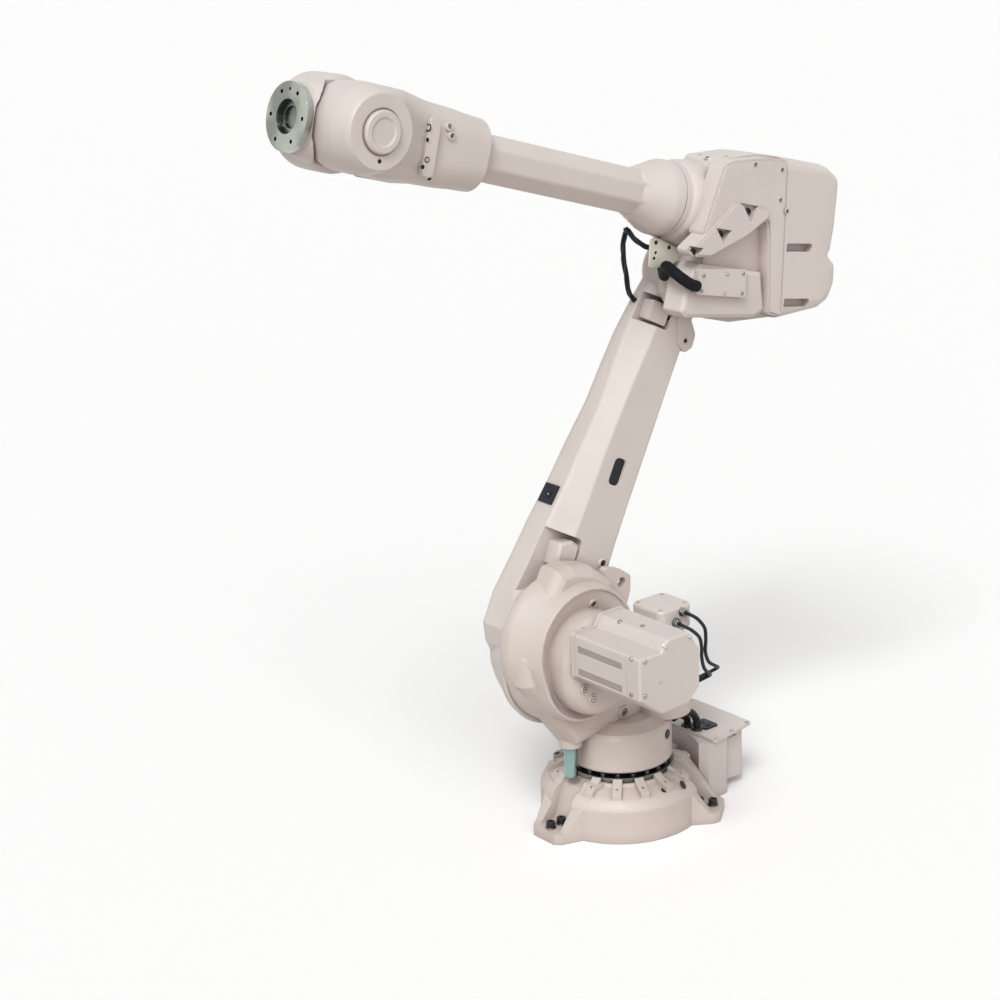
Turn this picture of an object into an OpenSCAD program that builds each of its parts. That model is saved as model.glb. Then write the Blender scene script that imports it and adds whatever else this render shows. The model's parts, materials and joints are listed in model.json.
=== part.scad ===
// Six-axis industrial robot arm, drawn at real size in millimetres.
// X points forward, Y to the robot's left and Z up; the origin lies on the floor under axis 1.
// The arm is drawn in one working posture; its joints move it from there.

/* [Reach] */
// Distance from axis 1 forward to axis 2
shoulder_x = 175; // [165:1:190]
// Height of axis 2 above the floor
shoulder_z = 495; // [485:1:520]
// Distance between axis 2 and axis 3
lower_length = 1095; // [1000:5:1200]
// Height of the forearm axis above axis 3
elbow_rise = 175; // [170:1:185]
// Distance from axis 3 forward to axis 5
fore_length = 1270; // [1150:5:1500]
// Distance from axis 5 to the face of the tool flange
tool_length = 135; // [130:1:160]

/* [Posture] */
// Angle that the lower arm leans back
arm_lean = 26.9; // [10:0.1:35]
// Angle that the forearm rises
arm_rise = 17.02; // [5:0.1:25]
// Angle that the tool flange points below the forearm
tool_drop = 2.88; // [0:0.1:20]

/* [Base] */
// Radius of the round base wall
base_r = 224; // [215:1:235]
// Height of the round base wall
base_wall = 96; // [85:1:105]
// Radius to the end of each foot
foot_reach = 285; // [275:1:300]
// Half width of a foot at its end
foot_half = 58; // [50:1:64]
// Thickness of a foot at its bolts
foot_pad = 29; // [24:1:34]
// Angle between the front foot and each rear foot
foot_angle = 128; // [120:1:135]
// Radius of a floor bolt hole
floor_hole_r = 9; // [7:0.5:10]
// Radius of the inner floor bolt
floor_inner = 221; // [216:1:226]
// Distance between the two floor bolts of a foot
floor_pitch = 38; // [34:1:42]
// Number of places for a stop around the base
stop_places = 16; // [16:1:16]
// Radius of the threaded stop holes
stop_hole_r = 4; // [3:0.5:5]
// Radius of the circle of stop holes
stop_circle = 182; // [178:1:188]
// Height of the bearing ring's top face
ring_top = 160; // [156:1:164]

/* [Connector box] */
// Half width of the box at its front
box_half = 138; // [125:1:145]
// Height of the box under its lid
box_height = 173; // [160:1:185]
// Position of the rear wall behind axis 1
box_rear = 306; // [290:1:315]
// Thickness of the lid
lid_thickness = 8; // [5:1:10]

/* [Turning frame] */
// Radius of the turning column
column_r = 144; // [138:1:148]
// Gap under the turning column
column_gap = 12; // [10:1:16]
// Radius of the stop pin
pin_r = 19; // [15:0.5:20]
// Radius to the stop pin from axis 1
pin_radius = 180; // [177:1:186]
// Radius of the drum around the axis 2 gear
drum_r = 118; // [108:1:120]
// Plane where the frame meets the lower arm
shoulder_gap_y = 40; // [36:1:44]
// Length of the axis 2 motor
motor_length = 259; // [230:1:280]
// Length of the motor's end cap
cap_length = 59; // [50:1:90]
// Depth of a cooling fin
fin_depth = 5; // [3:0.5:6]

/* [Lower arm] */
// Clearance between the frame and the lower arm
joint_gap = 6; // [5:0.5:8]
// Running clearance of a bearing face
bearing_gap = 0.4; // [0.3:0.1:0.6]
// Radius of the bell around axis 2
bell_r = 190; // [180:1:196]
// Radius of the round end at the elbow
elbow_r = 100; // [94:1:106]
// Half width of the oval window
window_half = 22; // [16:1:26]

/* [Upper arm] */
// Half width of the forearm tube
tube_half = 58.5; // [52:0.5:64]
// Radius of the forearm's turning ring
neck_r = 100; // [95:1:104]
// Plane of the forearm's turning ring ahead of axis 3
neck_x = 203; // [198:1:212]
// Near side of the elbow housing
housing_near = 148; // [140:1:156]

/* [Wrist] */
// Radius of the wrist body
wrist_r = 99; // [94:1:103]
// Radius of the round cheek over axis 5
cheek_r = 104; // [100:1:108]
// Outer face of the round cheek
cheek_face = 183; // [176:1:190]
// Radius of the tilting wrist body
tilt_r = 114; // [108:1:116]
// Radius of the tool flange
flange_r = 80; // [76:1:84]
// Thickness of the tool flange
flange_thickness = 17; // [14:1:20]
// Radius of the tool flange's bolt circle
flange_circle = 62.5; // [60:0.5:65]
// Radius of a tool bolt hole
flange_hole_r = 5; // [4:0.25:6]
// Radius of the hole for the tool's locating pin
pin_hole_r = 4; // [3:0.25:4]
// Radius of the flange's central bore
flange_bore_r = 40; // [36:1:44]

/* [Hidden] */
$fn = 64;
eps = 0.05;
arc_steps = 4;
hub_r = 95;
ring_bolts = 20;
fin_pitch = 9;
lid_top = box_height + lid_thickness;
shoulder = [shoulder_x, 0, shoulder_z];
paint = [0.86, 0.82, 0.78];
// Route from the connection plate round behind the bracket to the underside of the neck
elbow_hose_route = [
    [153.6, 150, -30], [178, 150, -28], [202, 138, -18], [214, 110, -4], [206, 76, 4], [178, 46, -10],
    [152, 20, -20], [144, 0, 2], [147, -9, 26], [152, -10, 46], [155, -10, 60.4]];
// Route from the neck's underside to the lower arm's front face
arm_cable_route = [
    [200, 6, 1135.2], [197.2, 6, 1119], [208, 4, 1106], [230, 0, 1100], [256, -8, 1106], [276, -20, 1119],
    [279, -32, 1125], [268, -46, 1124], [257, -54, 1108], [244, -62, 1088], [222, -74, 1066], [192, -88, 1046],
    [168, -96, 1024], [148, -100, 1004], [128, -103, 984], [113.1, -102.5, 976.6], [101.4, -104, 974.6]];
steel = [0.62, 0.64, 0.64];
black = [0.08, 0.08, 0.09];

// Small vector helpers
function unit(v) = v / norm(v);
function flat2(p) = [p[0], p[1]];

// Points of one rounded corner at b, between its neighbours a and c
function corner(a, b, c, n) =
    let (u = unit(flat2(a) - flat2(b)), w = unit(flat2(c) - flat2(b)),
         half = acos(max(-1, min(1, u * w))) / 2,
         r = b[2],
         o = flat2(b) + unit(u + w) * (r / sin(half)),
         s = flat2(b) + u * (r / tan(half)) - o,
         e = flat2(b) + w * (r / tan(half)) - o,
         a0 = atan2(s[1], s[0]),
         turn = (atan2(e[1], e[0]) - a0 + 540) % 360 - 180)
    [for (i = [0:n]) o + r * [cos(a0 + turn * i / n), sin(a0 + turn * i / n)]];

// Outline with rounded corners from a list of [x, y, radius]
function rounded(p, n = arc_steps) =
    [for (i = [0:len(p) - 1]) each corner(p[(i + len(p) - 1) % len(p)], p[i], p[(i + 1) % len(p)], n)];

// The same outline moved inward by d, except for the edge that starts at point number fixed
function inset(p, d, fixed = -1) =
    [for (i = [0:len(p) - 1])
        let (b = flat2(p[i]),
             before = (i + len(p) - 1) % len(p),
             v = unit(b - flat2(p[before])),
             w = unit(flat2(p[(i + 1) % len(p)]) - b),
             turn = v[0] * w[1] - v[1] * w[0],
             dv = before == fixed ? 0 : d,
             dw = i == fixed ? 0 : d)
        [b[0] + (dv * w[0] - dw * v[0]) / turn, b[1] + (dv * w[1] - dw * v[1]) / turn,
         max(p[i][2] - d * sign(turn) * (dv == dw ? 1 : 0), 1)]];

// Outline around two circles
function egg(c0, r0, c1, r1, n = 20) =
    let (d = c1 - c0, w = acos((r0 - r1) / norm(d)), q = atan2(d[1], d[0]))
    concat([for (i = [0:n - 1]) let (a = q - w + 2 * w * i / (n - 1)) c1 + r1 * [cos(a), sin(a)]],
           [for (i = [0:n - 1]) let (a = q + w + (360 - 2 * w) * i / (n - 1)) c0 + r0 * [cos(a), sin(a)]]);

// Outline at one height
function at_z(p, z) = [for (q = p) [q[0], q[1], z]];

// Solid skinned over outlines that have the same number of points
module loft(rings) {
    n = len(rings[0]);
    m = len(rings);
    polyhedron(
        points = [for (r = rings) each r],
        faces = concat(
            [[for (i = [0:n - 1]) i]],
            [for (k = [0:m - 2]) for (i = [0:n - 1])
                each [[k * n + i, k * n + n + i, k * n + n + (i + 1) % n],
                      [k * n + i, k * n + n + (i + 1) % n, k * n + (i + 1) % n]]],
            [[for (i = [0:n - 1]) m * n - 1 - i]]),
        convexity = 8);
}

// Side view outline carried along Y from the near side to the far side; stations are [y, inset]
module side_loft(outline, stations, fixed = -1) {
    rotate([90, 0, 0])
        loft([for (s = stations) at_z(rounded(inset(outline, s[1], fixed)), -s[0])]);
}

// Side view outline with a constant section between two Y planes
module side_slab(outline, y0, y1) {
    translate([0, y1, 0])
        rotate([90, 0, 0])
            linear_extrude(height = y1 - y0)
                polygon(rounded(outline));
}

// Round bar along Y, along X or along Z
module bar_y(y0, y1, r) {
    translate([0, y1, 0])
        rotate([90, 0, 0])
            cylinder(h = y1 - y0, r = r);
}
module bar_x(x0, x1, r) {
    translate([x0, 0, 0])
        rotate([0, 90, 0])
            cylinder(h = x1 - x0, r = r);
}

// Turned shape about the Y axis from a list of [radius, y]
module turned_y(profile) {
    rotate([-90, 0, 0])
        rotate_extrude($fn = 96)
            polygon(profile);
}

// Turned shape about the X axis from a list of [radius, x]
module turned_x(profile) {
    rotate([0, 90, 0])
        rotate_extrude($fn = 96)
            polygon(profile);
}

// Round cable with one ring of points at each route point
module swept(route, r, sides = 10) {
    last = len(route) - 1;
    loft([for (i = [0:last])
        let (t = unit(route[min(i + 1, last)] - route[max(i - 1, 0)]),
             ref = abs(t[1]) < 0.8 ? [0, 1, 0] : [1, 0, 0],
             u = unit(cross(ref, t)),
             w = cross(t, u))
        [for (k = [0:sides - 1]) route[i] + r * (cos(360 * k / sides) * u + sin(360 * k / sides) * w)]]);
}

// Points along a smooth curve through hand chosen points
function spline(p, n = 6) =
    concat([for (i = [0:len(p) - 2])
        let (a = p[max(i - 1, 0)], b = p[i], c = p[i + 1], d = p[min(i + 2, len(p) - 1)])
        each [for (k = [0:n - 1]) let (t = k / n)
            0.5 * (2 * b + (c - a) * t + (2 * a - 5 * b + 4 * c - d) * t * t
                + (3 * b - a - 3 * c + d) * t * t * t)]], [p[len(p) - 1]]);

// Places of the moving frames of reference
module at_shoulder() { translate(shoulder) children(); }
module at_lower() { translate(shoulder) rotate([0, -arm_lean, 0]) children(); }
elbow = shoulder + lower_length * [-sin(arm_lean), 0, cos(arm_lean)];
module at_elbow() { translate(elbow) rotate([0, -arm_rise, 0]) children(); }
wrist = elbow + fore_length * [cos(arm_rise), 0, sin(arm_rise)] + elbow_rise * [-sin(arm_rise), 0, cos(arm_rise)];
module at_wrist() { translate(wrist) rotate([0, -arm_rise, 0]) children(); }
module at_tool() { translate(wrist) rotate([0, tool_drop - arm_rise, 0]) children(); }

// Base casting: round body, three feet with bolt channels and a ring of stop ribs
module foot_solid() {
    rotate([90, 0, 0])
        translate([0, 0, -foot_half - 26])
            linear_extrude(height = 2 * foot_half + 52)
                polygon([[60, 0], [foot_reach, 0], [foot_reach, foot_pad], [foot_reach - 25, foot_pad],
                         [stop_circle - 14, 148], [60, 148]]);
}
module foot_plan() {
    linear_extrude(height = 160)
        polygon(rounded([[60, -foot_half - 25, 1], [196, -foot_half - 25, 12], [foot_reach - 15, -foot_half, 12],
                         [foot_reach, -foot_half + 15, 6], [foot_reach, foot_half - 15, 6],
                         [foot_reach - 15, foot_half, 12], [196, foot_half + 25, 12], [60, foot_half + 25, 1]]));
}
module foot_channel() {
    translate([0, foot_half - 19, 0])
        rotate([90, 0, 0])
            linear_extrude(height = 2 * foot_half - 38)
                polygon([[pin_radius - 34, 200], [pin_radius - 34, 134], [pin_radius - 6, 128], [206, foot_pad + 12],
                         [213, foot_pad], [foot_reach + 10, foot_pad], [foot_reach + 10, 200]]);
}
module stop_rib() {
    translate([0, 13, 0])
        rotate([90, 0, 0])
            linear_extrude(height = 26)
                polygon([[120, 90], [203, 90], [203, 137], [166, 149], [150, ring_top - 1], [120, ring_top - 1]]);
}
module base_casting() {
    color(paint)
        difference() {
            union() {
                rotate_extrude($fn = 128)
                    polygon([[0, 0], [base_r, 0], [base_r, base_wall - 6], [base_r - 2, base_wall + 1],
                             [base_r - 9, base_wall + 13], [base_r - 22, base_wall + 25], [180, 130],
                             [158, 138], [154, ring_top - 14], [0, ring_top - 14]]);
                for (a = [0, foot_angle, -foot_angle])
                    rotate(a)
                        intersection() {
                            foot_solid();
                            foot_plan();
                        }
                for (i = [0:stop_places - 1])
                    rotate(360 * i / stop_places)
                        stop_rib();
            }
            translate([0, 0, ring_top - 14])
                cylinder(h = 40, r = 149);
            for (a = [0, foot_angle, -foot_angle])
                rotate(a) {
                    foot_channel();
                    for (r = [floor_inner, floor_inner + floor_pitch])
                        translate([r, 0, -1])
                            cylinder(h = foot_pad + 20, r = floor_hole_r, $fn = 32);
                }
            for (i = [0:stop_places - 1])
                rotate(360 * i / stop_places)
                    translate([stop_circle, 0, 118])
                        cylinder(h = 60, r = stop_hole_r, $fn = 24);
        }
}

// Bearing ring with its ring of bolt heads
module bearing_ring() {
    color(steel) {
        translate([0, 0, ring_top - 14])
            cylinder(h = 14, r = 148.6);
        for (i = [0:ring_bolts - 1])
            rotate(360 * (i + 0.5) / ring_bolts)
                translate([131, 0, ring_top - 2])
                    cylinder(h = 9, r = 8, $fn = 24);
    }
}

// Connector box behind the base, with its lid and rear cover
module connector_box() {
    color(paint)
        difference() {
            linear_extrude(height = box_height)
                polygon(rounded([[-150, -box_half, 4], [-150, box_half, 4], [-box_rear + 20, box_half - 6, 18],
                                 [-box_rear, box_half - 26, 18], [-box_rear, -box_half + 26, 18],
                                 [-box_rear + 20, -box_half + 6, 18]]));
            translate([0, 0, -1])
                cylinder(h = 300, r = base_r + bearing_gap, $fn = 128);
            for (a = [foot_angle, -foot_angle])
                rotate(a)
                    translate([0, -foot_half - 25 - bearing_gap, -1])
                        cube([foot_reach + 20, 2 * foot_half + 50 + 2 * bearing_gap, box_height + 10]);
        }
}
module box_lid() {
    color(paint)
        translate([0, 0, box_height])
            linear_extrude(height = lid_thickness)
                polygon(rounded([[-228, -box_half - 8, 10], [-228, box_half + 8, 10],
                                 [-box_rear - 91, box_half - 20, 8], [-box_rear - 91, -box_half + 20, 8]]));
}
module box_cover() {
    color(paint)
        difference() {
            translate([0, 0, 24])
                linear_extrude(height = box_height - 24 - bearing_gap)
                    polygon(rounded([[-box_rear - bearing_gap, -box_half + 34, 2],
                                     [-box_rear - bearing_gap, box_half - 34, 2],
                                     [-box_rear - 60, box_half - 30, 14], [-box_rear - 82, box_half - 48, 14],
                                     [-box_rear - 82, -box_half + 48, 14], [-box_rear - 60, -box_half + 30, 14]]));
            translate([-box_rear - 40, box_half - 36, box_height - 22])
                cube([30, 20, 5]);
            translate([-box_rear - 40, -box_half + 16, box_height - 22])
                cube([30, 20, 5]);
        }
}
module lid_plate() {
    color(black)
        translate([-286, 43, box_height + lid_thickness])
            linear_extrude(height = 5)
                polygon(rounded([[-24, -30, 6], [24, -30, 6], [24, 30, 6], [-24, 30, 6]]));
}
module cover_knob() {
    color(black)
        translate([-box_rear - 82, 40, 122])
            rotate([0, -90, 0])
                cylinder(h = 9, r = 15, $fn = 32);
}

// Turning frame: column, web and egg-shaped gear housing around axis 2
function lip_egg(d) = egg([0, 0], 149 - d, [0, 60], 168 - d);
function root_egg(d) = egg([14, 10], 176 - d, [22, 65], 186 - d);
function drum_egg(d) = egg([0, 0], drum_r - d, [0, 42], drum_r + 4 - d);
web_line = [[187, -22, 12], [188, 60, 30], [60, 278, 12], [8, 280, 14], [-62, 262, 20], [-128, 210, 20],
            [-164, 100, 30], [-172, -60, 30], [-290, -150, 30], [-298, -212, 16], [20, -240, 20]];
module frame_casting() {
    color(paint)
        difference() {
            union() {
                translate([0, 0, ring_top + column_gap])
                    rotate_extrude($fn = 96)
                        polygon([[0, 0], [column_r - 3, 0], [column_r, 4], [column_r, 96], [column_r - 8, 108],
                                 [96, 126], [0, 126]]);
                translate([0, 0, ring_top + bearing_gap])
                    cylinder(h = column_gap + 1, r = hub_r);
                at_shoulder()
                    rotate([90, 0, 0])
                        loft([at_z(lip_egg(3), -78), at_z(lip_egg(0), -74), at_z(lip_egg(-10), -30), at_z(root_egg(3), 10),
                              at_z(root_egg(0), 28), at_z(root_egg(1), shoulder_gap_y)]);
                at_shoulder()
                    side_loft(web_line, [[46, 26], [40, 14], [26, 4], [10, 0], [-shoulder_gap_y + 6, 0],
                                         [-shoulder_gap_y, 4]]);
                translate([pin_radius, 0, 250])
                    cylinder(h = 50, r = pin_r + 13);
                rear_deck();
            }
            at_shoulder()
                rotate([90, 0, 0])
                    loft([at_z(lip_egg(8), -79), at_z(lip_egg(13), -71), at_z(drum_egg(-7), -60), at_z(drum_egg(-3), -58)]);
            at_shoulder()
                translate([-181, -30, 181])
                    rotate([90, 0, 0])
                        translate([0, 0, -80])
                            cylinder(h = 100, r = 14);
            translate([pin_radius, 0, 100])
                cylinder(h = 170, r = pin_r + 0.2, $fn = 48);
            rotate(113)
                translate([column_r - 6.3, 0, 252])
                    rotate([0, 90, 0])
                        cylinder(h = 20, r = 13.2, $fn = 32);
        }
    color(paint)
        at_shoulder()
            rotate([90, 0, 0])
                loft([at_z(drum_egg(34), -141), at_z(drum_egg(26), -140), at_z(drum_egg(10), -132), at_z(drum_egg(2), -118),
                      at_z(drum_egg(0), -104), at_z(drum_egg(0), -30)]);
    color(paint)
        at_shoulder()
            bar_y(-shoulder_gap_y - joint_gap + bearing_gap, -shoulder_gap_y + 1, hub_r);
}
module rear_deck() {
    translate([-115, 52, 284])
        cylinder(h = 108, r = 78, $fn = 64);
    at_shoulder()
        side_slab([[-120, 150, 10], [-120, 238, 14], [-175, 222, 16], [-214, 194, 16], [-212, 150, 16],
                   [-200, 118, 12], [-150, 90, 10]], -12, 12);
}
module stop_pin() {
    color(steel)
        translate([pin_radius, 0, 157])
            union() {
                cylinder(h = 3, r1 = pin_r - 3, r2 = pin_r);
                translate([0, 0, 3])
                    cylinder(h = 110, r = pin_r);
            }
}
module column_plugs() {
    color(black)
        rotate(113)
            translate([column_r - 6, 0, 252])
                rotate([0, 90, 0])
                    cylinder(h = 8, r = 13, $fn = 32);
}

// Shoulder motor: finned body on a flange plate, with its end cap
motor_line = [[112, 33, 6], [112, 148, 6], [36, 148, 4], [14, 177, 8], [-61, 177, 8], [-100, 120, 14],
              [-100, 18, 12], [-59, -21, 12], [35, -24, 12]];
module shoulder_motor() {
    color(paint)
        at_shoulder()
            difference() {
                union() {
                    side_slab(inset(motor_line, -4), 141, 151);
                    side_slab(motor_line, 150, 151 + motor_length - cap_length);
                }
                for (i = [0:3])
                    for (z = [42 + fin_pitch * i / 2, 118 - fin_pitch * i / 2])
                        translate([112 - fin_depth, 164, z - 1.2])
                            cube([fin_depth + 10, motor_length - cap_length - 31, 2.4]);
            }
}
module shoulder_motor_cap() {
    color(paint)
        at_shoulder()
            side_loft(motor_line, [[141 + motor_length, 5], [141 + motor_length - 3, 1.5], [141 + motor_length - 8, 0],
                                   [151 + motor_length - cap_length, 0]]);
}

// Upright motor that turns the frame
module turn_motor() {
    color(paint)
        translate([-115, 52, 392])
            linear_extrude(height = 144)
                polygon(rounded([[-48, -48, 16], [48, -48, 16], [48, 48, 16], [-48, 48, 16]]));
}
module turn_motor_cap() {
    color(paint)
        translate([-115, 52, 536])
            loft([at_z(rounded([[-61, -61, 22], [61, -61, 22], [61, 61, 22], [-61, 61, 22]]), 0),
                  at_z(rounded([[-61, -61, 22], [61, -61, 22], [61, 61, 22], [-61, 61, 22]]), 58),
                  at_z(rounded([[-58, -58, 20], [58, -58, 20], [58, 58, 20], [-58, 58, 20]]), 64)]);
}
module turn_motor_gland() {
    color(steel)
        for (p = [[-134, 585], [-108, 560]])
            translate([p[0], 113, p[1]])
                rotate([-90, 0, 0])
                    cylinder(h = 16, r = 11, $fn = 32);
}

// Motor cables: from the glands down behind the shoulder motor, in one slack loop each, into the rear deck
motor_cable_routes = [
    [[-134, 129.4, 585], [-134, 150, 584], [-150, 160, 570], [-176, 158, 538], [-188, 150, 500], [-190, 146, 462],
     [-200, 148, 430], [-226, 146, 410], [-248, 136, 396], [-252, 120, 384], [-236, 108, 374], [-206, 99, 366],
     [-184.7, 88.3, 362]],
    [[-108, 129.4, 560], [-108, 150, 558], [-124, 162, 546], [-152, 162, 518], [-168, 154, 484], [-174, 148, 450],
     [-184, 146, 416], [-206, 140, 392], [-228, 126, 376], [-232, 106, 362], [-214, 84, 346], [-190, 75.7, 340]]];
module motor_cables() {
    color(black)
        for (route = motor_cable_routes)
            swept(spline(route, 2), 5, 8);
}

// Two supply hoses from the frame down to the connector box
supply_hose_routes = [
    [[-141, 63, 250], [-170, 66, 259], [-212, 62, 248], [-242, 52, 218], [-248, 50, lid_top + 14],
     [-248, 50, lid_top + 0.8]],
    [[-149, 28, 232], [-178, 30, 238], [-214, 24, 228], [-240, 16, 208], [-245, 14, lid_top + 12],
     [-245, 14, lid_top + 0.8]]];
module supply_hoses() {
    color(black)
        for (route = supply_hose_routes)
            swept(spline(route, 4), 13, 10);
}

// Lower arm: bell around axis 2, tapering box and round elbow end
function arm_section(s) =
    let (z = s[0], xn = s[1], xc = s[2], yf = s[3], xr = s[4])
    at_z(rounded([[xr + 14, yf, 22], [xc - 42, yf, 26], [xc, yf + 32, 24], [xc - 4, -92, 20],
                  [xn, -shoulder_gap_y - joint_gap, 12], [xr, -shoulder_gap_y - joint_gap, 12], [xr, yf + 26, 16]]), z);
arm_stations = [
    [-60, 96, 120, -190, -90], [-20, 110, 166, -198, -100], [25, 120, 190, -204, -104], [115, 120, 190, -206, -96],
    [217, 108, 173, -205, -80], [331, 84, 159, -201, -74], [441, 80, 142, -195, -72], [557, 78, 131, -188, -72],
    [677, 70, 116, -180, -72], [791, 60, 115, -172, -72], [878, 50, 113, -165, -73], [970, 42, 104, -155, -76],
    [1040, 50, 92, -148, -84], [1095, 60, 84, -143, -92]];
module lower_arm() {
    k = lower_length / 1095;
    near = -shoulder_gap_y - joint_gap;
    color(paint)
        at_lower()
            difference() {
                union() {
                    loft([for (s = arm_stations) arm_section([s[0] * k, s[1], s[2], s[3], s[4]])]);
                    turned_y([[0, near], [bell_r - 4, near], [bell_r, near - 6], [bell_r - 4, -70], [bell_r - 20, -100],
                              [bell_r - 44, -150], [bell_r - 66, -188], [bell_r - 84, -204], [0, -208]]);
                    translate([0, 0, lower_length])
                        turned_y([[0, near], [elbow_r, near], [elbow_r, -110], [elbow_r - 6, -126], [elbow_r - 18, -142],
                                  [0, -146]]);
                    side_slab([[-6, 985, 4], [-46, 905, 6], [-84, 890, 10], [-104, 912, 12], [-100, 948, 12],
                               [-58, 990, 10]], -100, near + 2);
                }
                plate_seat(0.3);
                side_slab([[4, 926, 10], [150, 926, 6], [150, 1004, 6], [4, 1004, 10]], -92, near + 10);
                side_slab([[42, 195, 12], [220, 120, 6], [240, 330, 6], [160, 322, 6], [52, 318, 20]], -97, near + 10);
                translate([12, near + 1, 522])
                    rotate([90, 0, 0])
                        linear_extrude(height = 16)
                            polygon(rounded([[-window_half, -38, 14], [window_half, -38, 14], [window_half, 38, 14], [-window_half, 38, 14]]));
            }
}
module arm_window() {
    color(black)
        at_lower()
            translate([12, -shoulder_gap_y - joint_gap - 8, 522])
                rotate([90, 0, 0])
                    linear_extrude(height = 6.6)
                        polygon(rounded([[-window_half, -38, 14], [window_half, -38, 14], [window_half, 38, 14], [-window_half, 38, 14]]));
}
module plate_seat(gap) {
    translate([146, -132, 408])
        rotate([0, -8.8, 0])
            translate([-4 - gap, -26 - gap, -27 - gap])
                cube([8 + 4 * gap, 52 + 2 * gap, 54 + 2 * gap]);
}
module arm_plate() {
    color(black)
        at_lower()
            plate_seat(0);
}
module lower_stop() {
    color(paint)
        at_lower()
            side_loft([[48, 236, 8], [118, 226, 8], [126, 292, 10], [84, 308, 8], [52, 300, 8]],
                      [[-48, 8], [-54, 0], [-96.7, 0]]);
}
module upper_stop() {
    color(paint)
        at_lower()
            side_slab([[16, 934, 6], [80, 934, 6], [84, 990, 6], [16, 990, 6]], -91.7, -50);
}
module stop_pads() {
    color(black)
        at_lower()
            translate([38, -70, 990.3])
                cylinder(h = 8, r = 11, $fn = 32);
}

// Elbow housing: block beside the lower arm with the forearm's bearing neck
seam_low = [-186, -76];
seam_high = [-84, 347];
seam_step = 6 * unit(seam_high - seam_low);
core_line = [[114, 66, 26], [118, 278, 20], [110, 304, 16], [-10, 338, 30], [seam_high[0], seam_high[1], 3],
             [seam_low[0], seam_low[1], 3], [-40, -108, 20], [62, -110, 24], [114, -58, 30]];
near_line = [[each seam_low + seam_step, 3], [-138, -66, 8], [-84, 118, 10], [-62, 172, 8], [30, 152, 10],
             [134, 84, 10], [168, 104, 14], [140, 286, 20], [105, 306, 16], [-10, 334, 30], [each seam_high - seam_step, 3]];
boss_line = [[176, -20, 10], [140, 30, 10], [-96, 40, 10], [-140, -60, 4], [-100, -86, 10], [150, -118, 10],
             [176, -106, 10]];
rib_line = [[-78, 203, 14], [14, 122, 14], [133, 50, 16], [196, 42, 10], [207, 58, 8], [143, 126, 14], [80, 203, 14]];
// Centres of the screw pockets on the diagonal rib, as [x, z, size]
rib_pockets = [[16, 188, 1.1], [100, 114, 0.9], [186, 56, 0.8]];
module rib_pocket(size) {
    rotate([90, 0, 0])
        linear_extrude(height = 40, center = true)
            polygon([for (q = [[-24, 16], [-2, -24], [40, 14]]) q * size]);
}
module elbow_housing() {
    color(paint)
        at_elbow()
            difference() {
                union() {
                    side_slab(core_line, -34, 101);
                    side_slab(inset(core_line, 5), -38, 106);
                    side_slab(near_line, 90, housing_near - 6);
                    side_slab(inset(near_line, 6, len(near_line) - 1), 90, housing_near);
                    side_slab(rib_line, 100, housing_near + 5);
                    side_slab(inset(rib_line, 5), 100, housing_near + 10);
                    side_loft(boss_line, [[132, 12], [126, 2], [64, 0]]);
                    translate([0, 0, elbow_rise])
                        turned_x([[0, 40], [118, 40], [116, 120], [108, 170], [neck_r, neck_x - 20], [neck_r, neck_x],
                                  [0, neck_x]]);
                }
                translate([-400, -300, -300])
                    cube([520, 262, 900]);
                for (q = rib_pockets)
                    translate([q[0], housing_near + 8, q[1]])
                        rib_pocket(q[2]);
            }
    color(paint)
        at_elbow()
            bar_y(-shoulder_gap_y - joint_gap + bearing_gap, -30, hub_r);
}
// Grip slot in the elbow cover, rounded at its rear end
module cover_slot() {
    rotate([90, 0, 0])
        linear_extrude(height = 50, center = true)
            polygon(rounded([[0, -11, 3], [0, 11, 3], [-100, 11, 10], [-100, -11, 10]]));
}
module elbow_cover() {
    color(paint)
        at_elbow()
            difference() {
                side_loft([[seam_low[0] - bearing_gap, seam_low[1], 3], [seam_high[0] - bearing_gap, seam_high[1], 3],
                           [-250, 354, 30], [-312, 330, 44], [-334, 200, 40], [-338, 132, 10], [-330, 122, 6],
                           [-366, 104, 20], [-380, 50, 40], [-368, 0, 34], [-330, -30, 24]],
                          [[housing_near + 4, 30], [housing_near, 16], [housing_near - 8, 7], [housing_near - 22, 2],
                           [housing_near - 36, 0], [-28, 0], [-36, 6]], 0);
                for (q = [[-148, 116], [-182, -30]])
                    translate([q[0], housing_near + 2, q[1]])
                        rotate([0, 8, 0])
                            cover_slot();
            }
}
module connection_plate() {
    color(paint)
        at_elbow()
            side_slab([[150, -52, 6], [154, 16, 6], [-18, 38, 6], [-36, -36, 6]], 132, 148);
}
module hose_bracket() {
    color([0.84, 0.83, 0.76])
        at_elbow()
            side_slab([[231, 63, 8], [213, 73, 6], [114 + bearing_gap, 54, 3], [114 + bearing_gap, 26, 3],
                       [156, 2, 8], [216, -8, 8]], 20, 25);
}
module elbow_hose() {
    color(black)
        at_elbow()
            swept(spline(elbow_hose_route, 3), 15, 10);
}

// Cables that loop from the elbow bracket to the front of the lower arm
module arm_cables() {
    color(black)
        at_lower()
            swept(spline(arm_cable_route, 2), 8, 8);
}

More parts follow.
